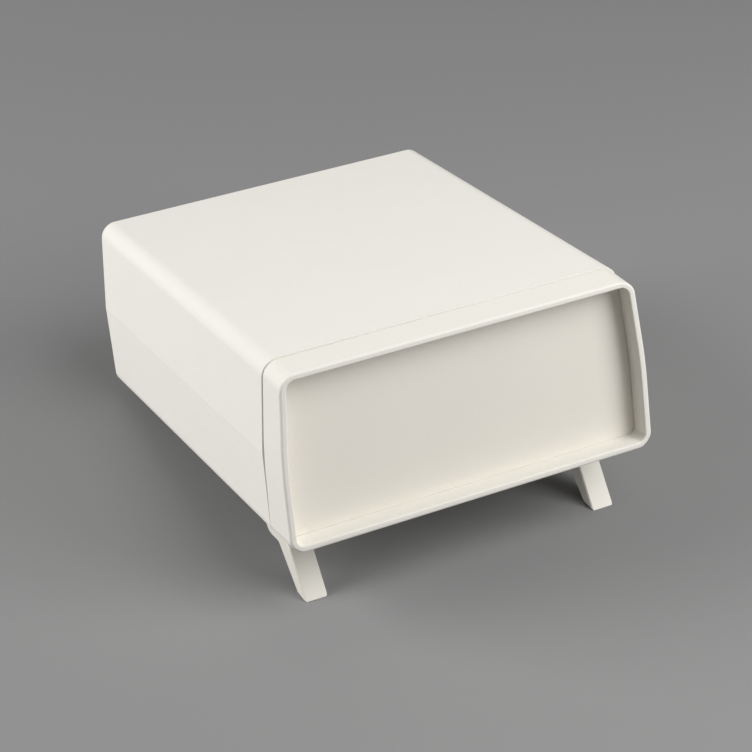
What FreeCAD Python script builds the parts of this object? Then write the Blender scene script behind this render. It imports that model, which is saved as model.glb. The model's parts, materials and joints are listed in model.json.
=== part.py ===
"""Desktop instrument housing, injection moulded, with two tilt legs that swing out.

Every sketch is drawn in the frame of the case. Its origin is at mid width, in the plane
where shells and bezel meet, at the height of the parting line. X points to the right as
seen from the front, Y to the rear, Z up and square to the floor of the case. The finished
pieces are then leaned back together, by the angle at which the case stands on its open
legs and its rear feet, and are set on the plane Z = 0.
"""
import FreeCAD, Part
import math
import os
import re
import Sketcher

V = FreeCAD.Vector

# Driving sizes in mm and degrees
SIZES = {
    # outer form, wide at the parting line and tapered above and below it
    "case_width": 200.0,
    "shell_length": 208.0,
    "rear_lean": 2.9,
    "roof_height": 46.4,
    "roof_taper": 4.3,
    "roof_radius": 8.4,
    "floor_height": 45.1,
    "floor_taper": 0.2,
    "floor_radius": 7.4,
    # moulded shells
    "wall": 2.6,
    "seam_chamfer": 0.35,
    "tongue_width": 1.1,
    "tongue_height": 2.0,
    "lap_clearance": 0.1,
    "rib_rear_inset": 34.0,
    "rib_count": 5.0,
    "rib_width": 1.4,
    "rib_height": 2.4,
    "rib_radius": 2.0,
    "rib_seam_gap": 0.7,
    "guide_width": 1.6,
    "guide_height": 4.0,
    "guide_groove": 2.4,
    "guide_inset": 7.5,
    # screw columns of the two shells
    "column_inset": 16.0,
    "column_front_gap": 12.0,
    "column_radius": 4.75,
    "head_bore_radius": 3.2,
    "head_depth": 8.0,
    "case_hole_radius": 1.8,
    "web_width": 2.0,
    "case_screw_radius": 1.5,
    "case_head_radius": 2.75,
    "case_head_height": 2.4,
    "drive_radius": 1.25,
    "drive_depth": 1.2,
    "insert_radius": 2.3,
    "insert_height": 6.0,
    "insert_sink": 0.3,
    "insert_play": 0.04,
    "thread_play": 0.04,
    # pillars that carry a board, pressed into sockets of the floor
    "board_inset": 42.0,
    "support_radius": 3.5,
    "support_height": 10.0,
    "support_sink": 1.0,
    "support_play": 0.05,
    "support_pilot_radius": 1.25,
    "support_pilot_depth": 9.0,
    # bezel with its leaning front face
    "seam_gap": 0.4,
    "bezel_top_depth": 16.9,
    "bezel_bottom_depth": 23.7,
    "bezel_round": 1.2,
    "kink_radius": 200.0,
    "rim": 3.1,
    "rim_round": 0.7,
    "panel_recess": 11.0,
    "panel_thickness": 2.5,
    "panel_clearance": 0.35,
    "ledge_thickness": 2.2,
    "window_inset": 7.6,
    "window_radius": 16.0,
    "spigot_inset": 2.9,
    "spigot_width": 1.8,
    "spigot_front": 3.2,
    "spigot_reach": 5.0,
    "catch_length": 12.0,
    "catch_height": 0.8,
    "catch_front": 2.0,
    "catch_width": 1.6,
    "catch_play": 0.15,
    "roof_catch_inset": 42.0,
    "floor_catch_inset": 60.0,
    # plates
    "rear_panel_thickness": 2.0,
    "rear_panel_clearance": 0.4,
    # bosses and screws of the front panel
    "panel_screw_inset": 9.2,
    "panel_boss_radius": 2.8,
    "panel_boss_play": 0.3,
    "panel_pilot_depth": 3.6,
    "panel_screw_radius": 1.25,
    "panel_head_radius": 3.7,
    "panel_head_height": 1.5,
    # tilt legs
    "leg_inset": 18.65,
    "leg_width": 12.4,
    "leg_bevel": 0.7,
    "pivot_y": 30.4,
    "pivot_drop": 9.7,
    "leg_head_radius": 8.0,
    "knee_angle": 38.75,
    "knee_length": 19.5,
    "knee_radius": 2.0,
    "head_flat": 0.4,
    "heel_radius": 3.0,
    "sole_front_y": -3.8,
    "sole_drop": 39.2,
    "sole_length": 9.3,
    "fork_slot": 6.1,
    "fork_radius": 9.0,
    "core_depth": 4.5,
    "core_skin": 1.8,
    "core_web": 1.5,
    "core_start": 7.0,
    "core_end": 26.0,
    # hinge pins and foot brackets
    "pin_radius": 2.0,
    "pin_play": 0.03,
    "pin_inset": 0.2,
    "lug_width": 5.5,
    "lug_radius": 6.0,
    "plate_half_width": 7.5,
    "plate_front": 8.0,
    "plate_length": 50.0,
    "plate_thickness": 3.0,
    "plate_sink": 2.0,
    "plate_radius": 2.5,
    "plate_clearance": 0.2,
    "stop_near": 3.0,
    "stop_far": 16.0,
    "stop_play": 0.05,
    "stop_slope": 2.0,
    "seat_margin": 2.2,
    "seat_height": 2.6,
    "peg_radius": 1.5,
    "peg_height": 3.0,
    "peg_inset": 6.0,
    "bracket_screw_inset": 6.5,
    "bracket_head_radius": 2.8,
    "bracket_head_height": 1.7,
    "bracket_head_play": 0.3,
    "bracket_screw_radius": 1.4,
    "bracket_screw_length": 8.0,
    "bracket_boss_radius": 3.6,
    # rear feet
    "foot_inset": 19.0,
    "foot_height": 7.2,
    "foot_radius": 9.0,
    "foot_flat_radius": 7.5,
    "foot_sink": 0.8,
    "foot_play": 0.3,
    "stem_radius": 2.5,
    "barb_radius": 3.3,
    "barb_height": 3.0,
    "barb_tip_radius": 1.6,
}

doc = FreeCAD.newDocument("housing")
sheet = doc.addObject("Spreadsheet::Sheet", "Sizes")
for row, (name, value) in enumerate(SIZES.items(), start=1):
    sheet.set(f"A{row}", str(value))
    sheet.setAlias(f"A{row}", name)
doc.recompute()

SIZE_NAME = re.compile(r"\b(" + "|".join(sorted(SIZES, key=len, reverse=True)) + r")\b")


# Helpers that tie every dimension to the sheet
def num(text):
    """Value of an expression made of size names."""
    found = sheet.evalExpression(str(text))
    return float(getattr(found, "Value", found))


def bind(item, prop, text):
    """Let a property follow an expression made of size names."""
    item.setExpression(prop, SIZE_NAME.sub(r"Sizes.\1", str(text)))


def minus(text):
    return f"-({text})"


def new_body(label):
    return doc.addObject("PartDesign::Body", label)


def origin_part(body, role):
    return next(item for item in body.Origin.OriginFeatures if item.Role == role)


# Unit step of each plane's normal along its axis of the case frame
FACING = {"XY_Plane": 1, "XZ_Plane": -1, "YZ_Plane": 1}


def new_sketch(body, name, plane, at="0", shift_y=None):
    """Sketch on a plane of the case frame, moved along its axis to the coordinate at."""
    sketch = body.newObject("Sketcher::SketchObject", name)
    sketch.AttachmentSupport = [(origin_part(body, plane), "")]
    sketch.MapMode = "FlatFace"
    bind(sketch, "AttachmentOffset.Base.z", at if FACING[plane] > 0 else minus(at))
    if shift_y:
        bind(sketch, "AttachmentOffset.Base.x", shift_y)
    return sketch


# The front face leans back at the top, and the panel and its ledge lie parallel to it
LEAN = "atan((bezel_bottom_depth - bezel_top_depth) / (roof_height + floor_height))"
FACE_Y = (
    "-(bezel_top_depth + (bezel_bottom_depth - bezel_top_depth)"
    " * roof_height / (roof_height + floor_height))"
)


def turn(sketch, angle):
    """Turn a sketch about its own X axis."""
    turned = FreeCAD.Rotation(V(1, 0, 0), num(angle))
    sketch.AttachmentOffset = FreeCAD.Placement(sketch.AttachmentOffset.Base, turned)
    bind(sketch, "AttachmentOffset.Rotation.Angle", angle)


def leaning_sketch(body, name, depth):
    """Sketch parallel to the front face, at a depth behind it measured square to it."""
    sketch = new_sketch(body, name, "XZ_Plane", f"{FACE_Y} + ({depth}) / cos({LEAN})")
    turn(sketch, minus(LEAN))
    return sketch


def fix_point(sketch, geo, pos, x, y):
    """Hold one point of a sketch at bound coordinates."""
    for kind, axis, text in (("DistanceX", -2, x), ("DistanceY", -1, y)):
        value = num(text)
        if abs(value) < 1e-9:
            sketch.addConstraint(Sketcher.Constraint("PointOnObject", geo, pos, axis))
            continue
        held = sketch.addConstraint(Sketcher.Constraint(kind, -1, 1, geo, pos, value))
        bind(sketch, f"Constraints[{held}]", text)


def outline(sketch, corners):
    """Closed outline through (x, y) or (x, y, radius) corners, each one bound.

    A rounded corner is an arc tangent to both lines, and its sharp corner is kept as a
    construction point that carries the two dimensions.
    """
    points = [V(num(c[0]), num(c[1]), 0) for c in corners]
    radii = [num(c[2]) if len(c) > 2 else 0 for c in corners]
    count = len(points)
    entry, leave, centre = list(points), list(points), [None] * count
    for i in range(count):
        if radii[i]:
            before = (points[i - 1] - points[i]).normalize()
            after = (points[(i + 1) % count] - points[i]).normalize()
            half = before.getAngle(after) / 2
            entry[i] = points[i] + before * (radii[i] / math.tan(half))
            leave[i] = points[i] + after * (radii[i] / math.tan(half))
            centre[i] = points[i] + (before + after).normalize() * (radii[i] / math.sin(half))
    lines = [
        sketch.addGeometry(Part.LineSegment(leave[i], entry[(i + 1) % count]), False)
        for i in range(count)
    ]
    for i in range(count):
        before, after = lines[i - 1], lines[i]
        if not radii[i]:
            sketch.addConstraint(Sketcher.Constraint("Coincident", before, 2, after, 1))
            fix_point(sketch, after, 1, corners[i][0], corners[i][1])
            continue
        # an arc of a sketch runs counter-clockwise, so a right turn swaps its ends
        left_turn = (points[i] - entry[i]).cross(leave[i] - points[i]).z > 0
        first, last = (1, 2) if left_turn else (2, 1)
        start, end = (entry[i], leave[i]) if left_turn else (leave[i], entry[i])
        angles = [math.atan2(p.y - centre[i].y, p.x - centre[i].x) for p in (start, end)]
        if angles[1] < angles[0]:
            angles[1] += 2 * math.pi
        ring = Part.Circle(centre[i], V(0, 0, 1), radii[i])
        arc = sketch.addGeometry(Part.ArcOfCircle(ring, *angles), False)
        corner = sketch.addGeometry(Part.Point(points[i]), True)
        sketch.addConstraint(Sketcher.Constraint("Tangent", before, 2, arc, first))
        sketch.addConstraint(Sketcher.Constraint("Tangent", arc, last, after, 1))
        held = sketch.addConstraint(Sketcher.Constraint("Radius", arc, radii[i]))
        bind(sketch, f"Constraints[{held}]", corners[i][2])
        sketch.addConstraint(Sketcher.Constraint("PointOnObject", corner, 1, before))
        sketch.addConstraint(Sketcher.Constraint("PointOnObject", corner, 1, after))
        fix_point(sketch, corner, 1, corners[i][0], corners[i][1])


def circle(sketch, x, y, radius):
    """Circle with bound centre and radius."""
    centre = V(num(x), num(y), 0)
    geo = sketch.addGeometry(Part.Circle(centre, V(0, 0, 1), num(radius)), False)
    fix_point(sketch, geo, 3, x, y)
    held = sketch.addConstraint(Sketcher.Constraint("Radius", geo, num(radius)))
    bind(sketch, f"Constraints[{held}]", radius)


def box_corners(x0, x1, y0, y1, radius=None):
    """Corners of a rectangle, rounded where a radius is given."""
    ends = [(x0, y0), (x1, y0), (x1, y1), (x0, y1)]
    return [(x, y, radius) for x, y in ends] if radius else ends


def pad(body, sketch, name, length, toward=1, middle=False):
    """Add material along the plane's axis of the case frame, toward +1 or -1."""
    made = body.newObject("PartDesign::Pad", name)
    made.Profile = sketch
    bind(made, "Length", length)
    facing = FACING[sketch.AttachmentSupport[0][0].Role]
    made.Reversed = facing != toward
    made.Midplane = middle
    sketch.Visibility = False
    doc.recompute()
    return made


def pocket(body, sketch, name, depth=None, toward=1, middle=False):
    """Take material away toward +1 or -1 along the plane's axis, or right through."""
    full = body.Shape.Volume
    made = body.newObject("PartDesign::Pocket", name)
    made.Profile = sketch
    if depth is None:
        made.Type = "ThroughAll"
        made.Midplane = True
    else:
        bind(made, "Length", depth)
        made.Midplane = middle
    facing = FACING[sketch.AttachmentSupport[0][0].Role]
    made.Reversed = facing == toward
    sketch.Visibility = False
    doc.recompute()
    assert made.Shape.Volume < full, f"{body.Label}: {name} takes nothing away"
    return made


def repeat(body, made, pitch, count):
    """Repeat a feature along Y, a pitch apart."""
    pattern = body.newObject("PartDesign::LinearPattern", made.Name + "_row")
    pattern.Originals = [made]
    pattern.Direction = (origin_part(body, "Y_Axis"), [""])
    bind(pattern, "Length", f"({pitch}) * ({count} - 1)")
    bind(pattern, "Occurrences", count)
    body.Tip = pattern
    doc.recompute()
    return pattern


def trim_edges(body, name, size, chosen, kind="Fillet"):
    """Round or bevel the edges of the body's last shape that the test picks out."""
    base = body.Tip
    names = [f"Edge{i}" for i, edge in enumerate(base.Shape.Edges, start=1) if chosen(edge)]
    assert names, f"{body.Label}: no edge for {name}"
    made = body.newObject(f"PartDesign::{kind}", name)
    made.Base = (base, names)
    bind(made, "Radius" if kind == "Fillet" else "Size", size)
    doc.recompute()
    return made


def middle_of(edge):
    return edge.valueAt((edge.FirstParameter + edge.LastParameter) / 2)


# Outline of the case, seen from the front
def wall_x(half, inset, height):
    """Half width of the roof or floor half at a height from the parting line."""
    return f"case_width / 2 - ({inset}) - {half}_taper * ({height}) / {half}_height"


def arch(half, inset, foot="0", radius=None, scale="1"):
    """Four corners of one half's outline from the right foot over to the left foot."""
    top = f"{half}_height - ({inset})"
    foot_x, top_x = wall_x(half, inset, foot), wall_x(half, inset, top)
    bend = radius or f"{half}_radius - ({inset})"
    sign = "" if half == "roof" else "-"
    foot_z, top_z = f"{sign}({foot}) / ({scale})", f"{sign}({top}) / ({scale})"
    return [
        (foot_x, foot_z),
        (top_x, top_z, bend),
        (minus(top_x), top_z, bend),
        (minus(foot_x), foot_z),
    ]


def full_outline(inset, radius=None, scale="1"):
    """Six corners of the whole outline, with a wide round at the parting line's kink."""
    roof = arch("roof", inset, "0", radius, scale)
    floor = arch("floor", inset, "0", radius, scale)
    kinks = [(*roof[i], f"kink_radius - ({inset})") for i in (0, 3)]
    return [kinks[0], roof[1], roof[2], kinks[1], floor[2], floor[1]]


SIDES = {"left": "-", "right": ""}
COLUMN_X = "case_width / 2 - column_inset"
RIB_PITCH = "(shell_length - rib_rear_inset) / rib_count"
PLATE_REAR = "plate_front + plate_length"
COLUMN_ROWS = (f"{PLATE_REAR} + column_front_gap", "shell_length - rib_rear_inset")
COLUMNS = [(f"{sign}({COLUMN_X})", row) for sign in SIDES.values() for row in COLUMN_ROWS]
BOARD_X = "case_width / 2 - board_inset"
BOARD_ROWS = (f"1.5 * {RIB_PITCH}", f"(rib_count - 0.5) * {RIB_PITCH}")
SUPPORTS = [(f"{sign}({BOARD_X})", row) for sign in SIDES.values() for row in BOARD_ROWS]
GUIDE_Y = "shell_length - guide_inset"
FOOT_Y = "shell_length - foot_inset"
FLOOR_INSIDE = "-(floor_height - wall)"


def add_skin(body, section, low, high):
    """Extrude a shell's section, and lean its rear end between two heights."""
    def rear_y(height):
        return f"shell_length + ({height}) * tan(rear_lean)"

    pad(body, section, "skin", rear_y(high))
    sketch = new_sketch(body, "rear_cut_outline", "YZ_Plane")
    under, over = f"{low} - wall", f"{high} + wall"
    outline(sketch, [
        (rear_y(under), under),
        (f"{rear_y(over)} + wall", under),
        (f"{rear_y(over)} + wall", over),
        (rear_y(over), over),
    ])
    pocket(body, sketch, "rear_slant")


def add_rib_frames(body, half, foot):
    """Low ribs that run round the inside of a shell, and the guides of the rear panel."""
    for name, at, width, height, pitch, count in (
        ("rib_frame", f"{RIB_PITCH} - rib_width / 2", "rib_width", "rib_height",
         RIB_PITCH, "rib_count"),
        ("guide", f"{GUIDE_Y} - guide_width - guide_groove / 2", "guide_width", "guide_height",
         "guide_width + guide_groove", "2"),
    ):
        sketch = new_sketch(body, name + "_outline", "XZ_Plane", at)
        inner = arch(half, f"wall + {height}", foot, "rib_radius")
        outline(sketch, arch(half, "wall / 2", foot) + inner[::-1])
        repeat(body, pad(body, sketch, name, width), pitch, count)


def add_webs(body, half, foot):
    """Webs that tie the screw columns to the side walls."""
    top = f"{half}_height - wall / 2"
    sign = "" if half == "roof" else "-"
    sketch = new_sketch(body, "web_outline", "XZ_Plane", COLUMN_ROWS[0])
    for side in SIDES.values():
        outline(sketch, [
            (f"{side}({COLUMN_X})", f"{sign}({foot})"),
            (f"{side}({wall_x(half, 'wall / 2', foot)})", f"{sign}({foot})"),
            (f"{side}({wall_x(half, 'wall / 2', top)})", f"{sign}({top})",
             f"{half}_radius - wall / 2"),
            (f"{side}({COLUMN_X})", f"{sign}({top})"),
        ])
    web = pad(body, sketch, "web", "web_width", middle=True)
    repeat(body, web, f"{COLUMN_ROWS[1]} - ({COLUMN_ROWS[0]})", "2")


def add_catch_pockets(body, half):
    """Recesses inside the front edge that take the bezel's catches."""
    sign = "" if half == "roof" else "-"
    sketch = new_sketch(body, "catch_pocket_outline", "XZ_Plane", "catch_front - catch_play")
    reach = "spigot_inset - catch_height - catch_play"
    for side in SIDES.values():
        middle = f"{side}(case_width / 2 - {half}_catch_inset)"
        outline(sketch, box_corners(
            f"{middle} - catch_length / 2 - catch_play",
            f"{middle} + catch_length / 2 + catch_play",
            f"{sign}({half}_height - wall - 0.5 * rib_height)",
            f"{sign}({half}_height - ({reach}))",
        ))
    pocket(body, sketch, "catch_pocket", "catch_width + 2 * catch_play")


# Top shell
top_shell = new_body("top_shell")
sketch = new_sketch(top_shell, "section", "XZ_Plane")
lap_z = "tongue_height + 2 * lap_clearance"
lap_x = "case_width / 2 - wall + tongue_width + lap_clearance"
inner = arch("roof", "wall", lap_z)
outline(sketch, arch("roof", "0") + [
    (minus(lap_x), "0"),
    (minus(lap_x), lap_z),
    *inner[::-1],
    (lap_x, lap_z),
    (lap_x, "0"),
])
add_skin(top_shell, sketch, "0", "roof_height")
rib_foot = "tongue_height + rib_seam_gap"
add_rib_frames(top_shell, "roof", rib_foot)
add_webs(top_shell, "roof", rib_foot)
sketch = new_sketch(top_shell, "boss_circles", "XY_Plane")
for x, y in COLUMNS:
    circle(sketch, x, y, "column_radius")
pad(top_shell, sketch, "insert_bosses", "roof_height - wall / 2")
sketch = new_sketch(top_shell, "insert_circles", "XY_Plane")
for x, y in COLUMNS:
    circle(sketch, x, y, "insert_radius + insert_play")
pocket(top_shell, sketch, "insert_holes", "insert_sink + insert_height", toward=1)
sketch = new_sketch(top_shell, "screw_end_circles", "XY_Plane")
for x, y in COLUMNS:
    circle(sketch, x, y, "case_hole_radius")
pocket(top_shell, sketch, "screw_end_holes", "insert_sink + 2 * insert_height", toward=1)
add_catch_pockets(top_shell, "roof")

# Bottom shell
bottom_shell = new_body("bottom_shell")
sketch = new_sketch(bottom_shell, "section", "XZ_Plane")
outer, inner = arch("floor", "0", "seam_chamfer"), arch("floor", "wall")
ledge_x = "case_width / 2 - seam_chamfer"
tongue_x = "case_width / 2 - wall + tongue_width"
tongue_in_x = "case_width / 2 - wall"
outline(sketch, [
    *outer,
    (minus(ledge_x), "0"),
    (minus(tongue_x), "0"),
    (minus(tongue_x), "tongue_height"),
    (minus(tongue_in_x), "tongue_height"),
    inner[2],
    inner[1],
    (tongue_in_x, "tongue_height"),
    (tongue_x, "tongue_height"),
    (tongue_x, "0"),
    (ledge_x, "0"),
])
add_skin(bottom_shell, sketch, "-floor_height", "tongue_height")
add_rib_frames(bottom_shell, "floor", "rib_seam_gap")
add_webs(bottom_shell, "floor", "rib_seam_gap")
sketch = new_sketch(bottom_shell, "column_circles", "XY_Plane")
for x, y in COLUMNS:
    circle(sketch, x, y, "column_radius")
pad(bottom_shell, sketch, "screw_columns", "floor_height - wall / 2", toward=-1)

# Thickened seats for the foot brackets and bosses for their screws
SCREW_Y = f"{PLATE_REAR} - bracket_screw_inset"
PEG_ROWS = ("plate_front + peg_inset", f"{SCREW_Y} - 1.5 * peg_inset")


def leg_centre(side):
    return f"{SIDES[side]}(case_width / 2 - leg_inset)"


def plate_corners(side, grow):
    """Corners of a bracket plate's outline, grown on every side."""
    middle = leg_centre(side)
    return box_corners(
        f"{middle} - plate_half_width - ({grow})",
        f"{middle} + plate_half_width + ({grow})",
        f"plate_front - ({grow})",
        f"{PLATE_REAR} + ({grow})",
        f"plate_radius + ({grow})",
    )


sketch = new_sketch(bottom_shell, "seat_outlines", "XY_Plane", "-floor_height + wall / 2")
for side in SIDES:
    outline(sketch, plate_corners(side, "seat_margin"))
pad(bottom_shell, sketch, "bracket_seats", "wall / 2 + seat_height")
seat_top = "-floor_height + wall + seat_height"
sketch = new_sketch(bottom_shell, "bracket_boss_circles", "XY_Plane", f"{seat_top} - wall / 2")
for side in SIDES:
    circle(sketch, leg_centre(side), SCREW_Y, "bracket_boss_radius")
pad(bottom_shell, sketch, "bracket_bosses", "wall / 2 + bracket_screw_length")

# Holes of the bottom shell
sketch = new_sketch(bottom_shell, "head_circles", "XY_Plane", "-floor_height")
for x, y in COLUMNS:
    circle(sketch, x, y, "head_bore_radius")
pocket(bottom_shell, sketch, "head_bores", "floor_height - head_depth", toward=1)
sketch = new_sketch(bottom_shell, "screw_circles", "XY_Plane")
for x, y in COLUMNS:
    circle(sketch, x, y, "case_hole_radius")
pocket(bottom_shell, sketch, "screw_holes")
sketch = new_sketch(bottom_shell, "recess_outlines", "XY_Plane", "-floor_height")
for side in SIDES:
    outline(sketch, plate_corners(side, "plate_clearance"))
pocket(bottom_shell, sketch, "bracket_recesses", "plate_sink", toward=1)
sketch = new_sketch(bottom_shell, "peg_hole_circles", "XY_Plane", "-floor_height")
for side in SIDES:
    for row in PEG_ROWS:
        circle(sketch, leg_centre(side), row, "peg_radius + plate_clearance")
pocket(bottom_shell, sketch, "peg_holes", "wall + seat_height", toward=1)
sketch = new_sketch(bottom_shell, "bracket_hole_circles", "XY_Plane", "-floor_height")
for side in SIDES:
    circle(sketch, leg_centre(side), SCREW_Y, "bracket_screw_radius + thread_play")
pocket(bottom_shell, sketch, "bracket_holes", "plate_sink + bracket_screw_length", toward=1)
sketch = new_sketch(bottom_shell, "socket_circles", "XY_Plane", FLOOR_INSIDE)
for x, y in SUPPORTS:
    circle(sketch, x, y, "support_radius + support_play")
pocket(bottom_shell, sketch, "support_sockets", "support_sink", toward=-1)
sketch = new_sketch(bottom_shell, "foot_seat_circles", "XY_Plane", "-floor_height")
for side in SIDES:
    circle(sketch, leg_centre(side), FOOT_Y, "foot_radius + foot_play")
pocket(bottom_shell, sketch, "foot_seats", "foot_sink", toward=1)
sketch = new_sketch(bottom_shell, "foot_hole_circles", "XY_Plane", "-floor_height")
for side in SIDES:
    circle(sketch, leg_centre(side), FOOT_Y, "stem_radius + foot_play")
pocket(bottom_shell, sketch, "foot_holes", "wall", toward=1)
add_catch_pockets(bottom_shell, "floor")

# Front bezel, a hood whose front face leans back
front_bezel = new_body("front_bezel")
sketch = new_sketch(front_bezel, "outline", "XZ_Plane", "-seam_gap")
outline(sketch, full_outline("0"))
pad(front_bezel, sketch, "block", "bezel_bottom_depth", toward=-1)
sketch = new_sketch(front_bezel, "face_cut_outline", "YZ_Plane")
FACE_SLOPE = "(bezel_bottom_depth - bezel_top_depth) / (roof_height + floor_height)"
outline(sketch, [
    (f"-bezel_top_depth + rim * {FACE_SLOPE}", "roof_height + rim"),
    (f"-bezel_bottom_depth - rim * {FACE_SLOPE}", "-floor_height - rim"),
    ("-bezel_bottom_depth - 2 * rim", "-floor_height - rim"),
    ("-bezel_bottom_depth - 2 * rim", "roof_height + rim"),
])
pocket(front_bezel, sketch, "leaning_face")


def on_front_face(edge):
    """True for an edge in the leaning front face."""
    spot = middle_of(edge)
    return abs(spot.y - num(FACE_Y) - spot.z * num(FACE_SLOPE)) < 1e-4


trim_edges(front_bezel, "outer_round", "bezel_round", on_front_face)
sketch = new_sketch(front_bezel, "hood_outline", "XZ_Plane")
outline(sketch, full_outline("rim"))
pocket(front_bezel, sketch, "hood")


def on_hood_mouth(edge):
    """True for an edge where the hood's inner faces meet the leaning front face."""
    spot = middle_of(edge)
    half = "roof" if spot.z > 0 else "floor"
    side = num(wall_x(half, "0.8 * rim", str(abs(spot.z))))
    within = abs(spot.x) < side and abs(spot.z) < num(f"{half}_height - 0.8 * rim")
    return on_front_face(edge) and within


trim_edges(front_bezel, "mouth_round", "rim_round", on_hood_mouth)
LEDGE_DEPTH = "panel_recess + panel_thickness"
LEDGE_BACK = f"{LEDGE_DEPTH} + ledge_thickness"
SLANT = f"cos({LEAN})"
sketch = leaning_sketch(front_bezel, "ledge_outline", LEDGE_DEPTH)
outline(sketch, full_outline("rim / 2", scale=SLANT))
outline(sketch, full_outline("window_inset", "window_radius", SLANT))
pad(front_bezel, sketch, "ledge", "ledge_thickness")
PANEL_SCREWS = [
    (f"{side}({wall_x(half, 'panel_screw_inset', f'{half}_height')})",
     f"{sign}({half}_height - panel_screw_inset) / {SLANT}")
    for half, sign in (("roof", ""), ("floor", "-"))
    for side in SIDES.values()
]
sketch = leaning_sketch(front_bezel, "ledge_hole_circles", LEDGE_DEPTH)
for x, y in PANEL_SCREWS:
    circle(sketch, x, y, "panel_boss_radius + panel_boss_play")
pocket(front_bezel, sketch, "ledge_holes", "ledge_thickness")
sketch = new_sketch(front_bezel, "spigot_outline", "XZ_Plane", "-spigot_front")
outline(sketch, full_outline("spigot_inset"))
outline(sketch, full_outline("spigot_inset + spigot_width", "rib_radius"))
pad(front_bezel, sketch, "spigot", "spigot_front + spigot_reach")
sketch = new_sketch(front_bezel, "catch_outlines", "XZ_Plane", "catch_front")
for half, sign in (("roof", ""), ("floor", "-")):
    for side in SIDES.values():
        middle = f"{side}(case_width / 2 - {half}_catch_inset)"
        outline(sketch, box_corners(
            f"{middle} - catch_length / 2",
            f"{middle} + catch_length / 2",
            f"{sign}({half}_height - spigot_inset - spigot_width / 2)",
            f"{sign}({half}_height - spigot_inset + catch_height)",
        ))
pad(front_bezel, sketch, "catches", "catch_width")

# Front panel with its four blind bosses
front_panel = new_body("front_panel")
sketch = leaning_sketch(front_panel, "plate_outline", "panel_recess")
outline(sketch, full_outline("rim + panel_clearance", scale=SLANT))
pad(front_panel, sketch, "plate", "panel_thickness")
sketch = leaning_sketch(front_panel, "boss_circles", LEDGE_DEPTH)
for x, y in PANEL_SCREWS:
    circle(sketch, x, y, "panel_boss_radius")
pad(front_panel, sketch, "bosses", "ledge_thickness")
sketch = leaning_sketch(front_panel, "pilot_circles", LEDGE_BACK)
for x, y in PANEL_SCREWS:
    circle(sketch, x, y, "panel_screw_radius + thread_play")
pocket(front_panel, sketch, "pilots", "panel_pilot_depth", toward=-1)

# Rear panel, held in the guides of both shells
rear_panel = new_body("rear_panel")
sketch = new_sketch(
    rear_panel, "plate_outline", "XZ_Plane", f"{GUIDE_Y} - rear_panel_thickness / 2")
outline(sketch, full_outline("wall + rear_panel_clearance"))
pad(rear_panel, sketch, "plate", "rear_panel_thickness")

# Geometry of the open leg, seen from the side
PIVOT_Z = "-(floor_height + pivot_drop)"
TOUCH_Y = "pivot_y - leg_head_radius * sin(knee_angle)"
TOUCH_Z = f"{PIVOT_Z} + leg_head_radius * cos(knee_angle)"
TILT = f"atan2(sole_drop - foot_height; {FOOT_Y} + foot_flat_radius - sole_front_y)"
SOLE_Z = "-(floor_height + sole_drop)"
SOLE_REAR_Y = f"sole_front_y + sole_length * cos({TILT})"
SOLE_REAR_Z = f"{SOLE_Z} + sole_length * sin({TILT})"
REAR_ANGLE = f"atan2({PIVOT_Z} - ({SOLE_REAR_Z}); pivot_y - ({SOLE_REAR_Y}))"


HEAD_REAR_Y = "pivot_y + leg_head_radius"
HEAD_UNDER_Z = f"{PIVOT_Z} - leg_head_radius"
HEAD_TOP_Z = f"{TOUCH_Z} + ({HEAD_REAR_Y} - ({TOUCH_Y})) * tan(knee_angle)"


def knee_line(reach, lift="0"):
    """Point on the straight front of the leg's neck, counted from the leg's head."""
    return (
        f"{TOUCH_Y} - ({reach}) * cos(knee_angle) - ({lift}) * sin(knee_angle)",
        f"{TOUCH_Z} - ({reach}) * sin(knee_angle) + ({lift}) * cos(knee_angle)",
    )


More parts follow.
